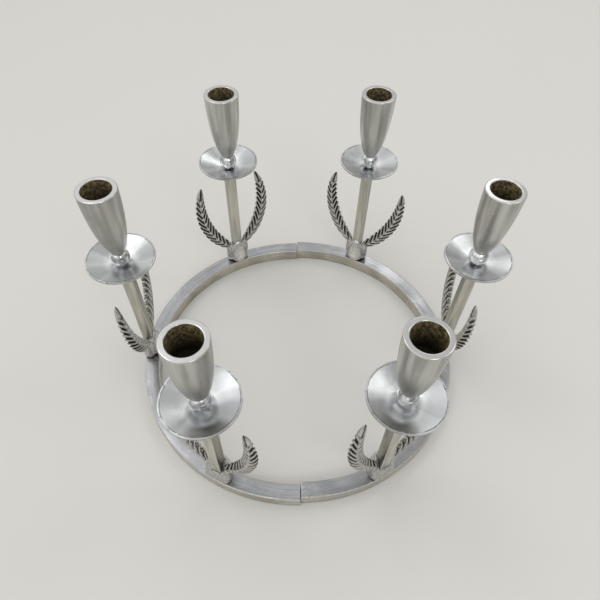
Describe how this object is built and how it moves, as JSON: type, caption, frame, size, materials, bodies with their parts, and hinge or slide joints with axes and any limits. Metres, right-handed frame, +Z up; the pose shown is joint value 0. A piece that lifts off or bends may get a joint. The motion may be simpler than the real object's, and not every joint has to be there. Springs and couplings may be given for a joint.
{
  "type": "advent candle holder",
  "caption": "Table candle ring of square aluminium bar in separable half circles, with leaf-spray posts that carry drip pans and tapered candle cups.",
  "frame": {"origin": "on the table, under the middle of the ring", "axes": "+Z up, +Y to the back, +X to the right across the joint between the half rings"},
  "size_m": [0.3384, 0.3048, 0.2112],
  "materials": {
    "ring_bar": "satin",
    "cast_foot": "cast, dark in the grooves",
    "stem": "satin",
    "drip_pan": "polished",
    "bead": "mirror polished",
    "candle_cup": "brushed satin",
    "fastener": "plain"
  },
  "bodies": {
    "left_half": {"half_ring_left": "ring_bar", "cast_foot_back_left": "cast_foot", "stem_back_left": "stem", "drip_pan_back_left": "drip_pan", "bead_back_left": "bead", "candle_cup_back_left": "candle_cup", "cast_foot_left": "cast_foot", "stem_left": "stem", "drip_pan_left": "drip_pan", "bead_left": "bead", "candle_cup_left": "candle_cup", "cast_foot_front_left": "cast_foot", "stem_front_left": "stem", "drip_pan_front_left": "drip_pan", "bead_front_left": "bead", "candle_cup_front_left": "candle_cup", "cup_studs_left": "fastener", "post_screws_left": "fastener"},
    "right_half": {"half_ring_right": "ring_bar", "cast_foot_back_right": "cast_foot", "stem_back_right": "stem", "drip_pan_back_right": "drip_pan", "bead_back_right": "bead", "candle_cup_back_right": "candle_cup", "cast_foot_right": "cast_foot", "stem_right": "stem", "drip_pan_right": "drip_pan", "bead_right": "bead", "candle_cup_right": "candle_cup", "cast_foot_front_right": "cast_foot", "stem_front_right": "stem", "drip_pan_front_right": "drip_pan", "bead_front_right": "bead", "candle_cup_front_right": "candle_cup", "cup_studs_right": "fastener", "post_screws_right": "fastener"}
  },
  "joints": [
    {"name": "halves_apart", "type": "slide", "parent": "left_half", "child": "right_half", "axis": [1, 0, 0], "range_m": [0, 0.15]}
  ]
}
